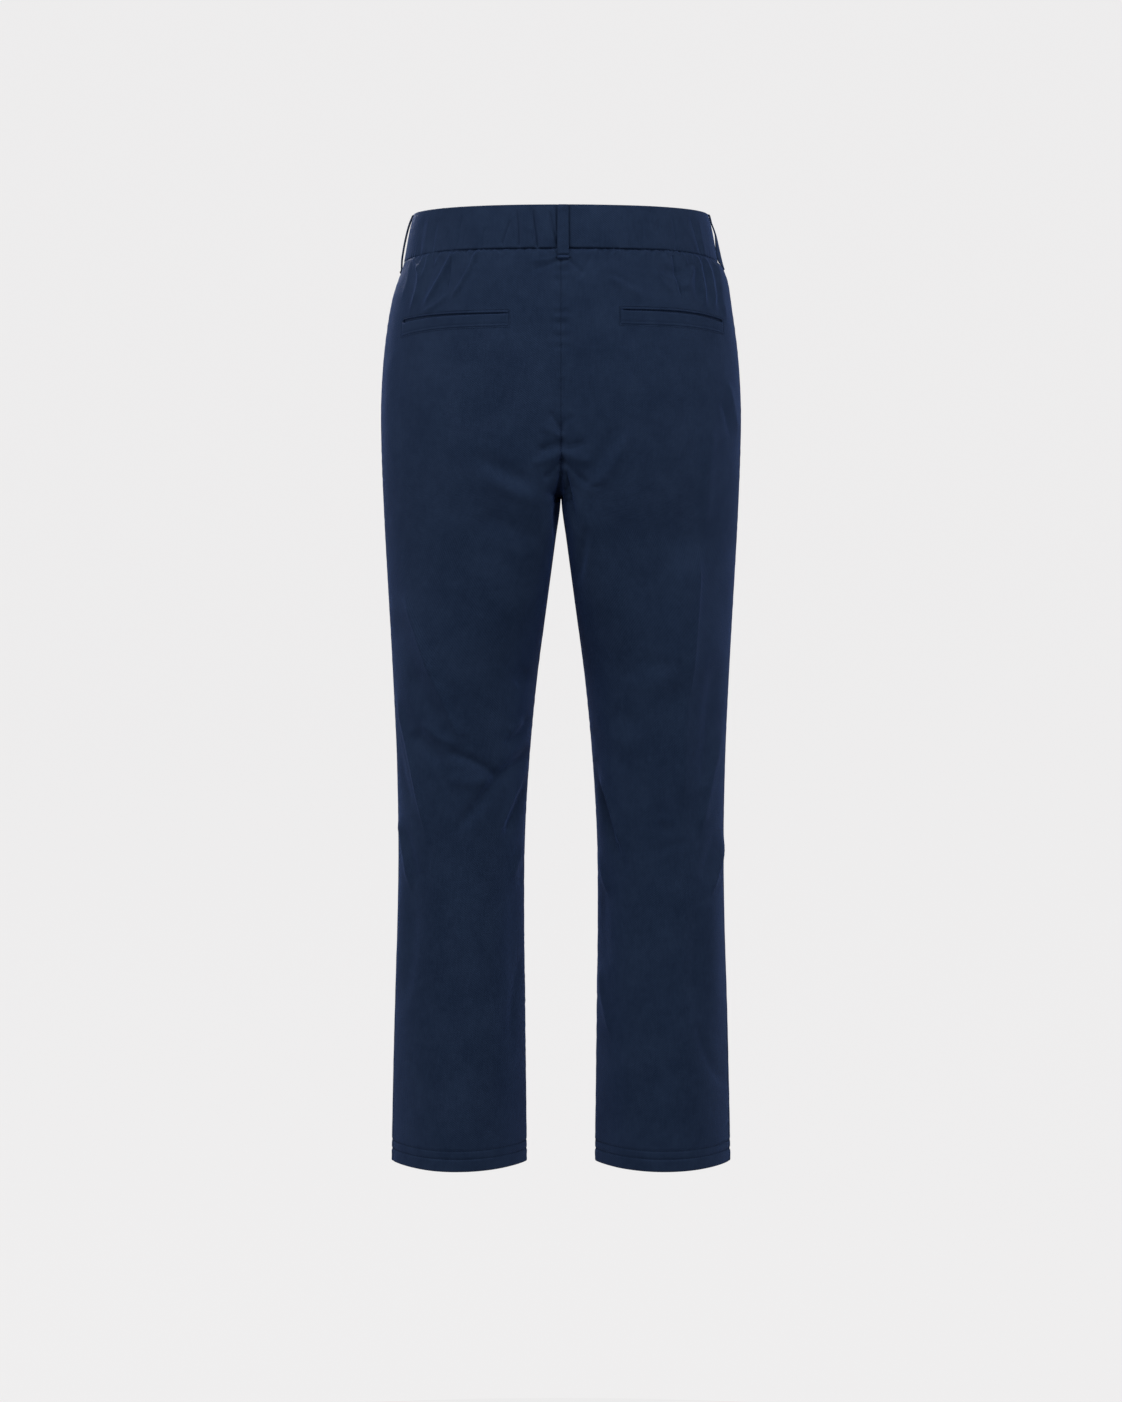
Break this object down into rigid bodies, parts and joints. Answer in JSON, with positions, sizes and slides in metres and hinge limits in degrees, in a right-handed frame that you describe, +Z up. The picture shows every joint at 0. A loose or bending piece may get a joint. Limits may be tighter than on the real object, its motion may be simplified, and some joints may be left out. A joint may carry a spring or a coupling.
{
  "type": "dress trousers",
  "caption": "Ankle-length dress trousers filled out as worn: hollow cloth legs and seat, gathered back waistband, belt loops, welt pockets and a closed fly.",
  "frame": {"origin": "the middle of the waist, halfway up the waistband, where a wearer holds the trousers up", "axes": "+Z up, +Y towards the wearer's back, +X towards the wearer's left"},
  "size_m": [0.359, 0.248, 0.945],
  "materials": {
    "cloth": "fine navy twill with a soft sheen",
    "button": "dark navy, semi-gloss"
  },
  "bodies": {
    "root": {"back_left": "cloth", "back_right": "cloth", "front_left": "cloth", "front_right": "cloth", "waistband_back": "cloth", "waistband_front_left": "cloth", "waistband_front_right": "cloth", "belt_loop_back": "cloth", "belt_loop_left": "cloth", "belt_loop_right": "cloth", "belt_loop_front_left": "cloth", "belt_loop_front_right": "cloth", "welt_left": "cloth", "welt_right": "cloth", "fly_flap": "cloth", "fly_shield": "cloth", "hem_left": "cloth", "hem_right": "cloth", "waist_button": "button"}
  },
  "joints": []
}
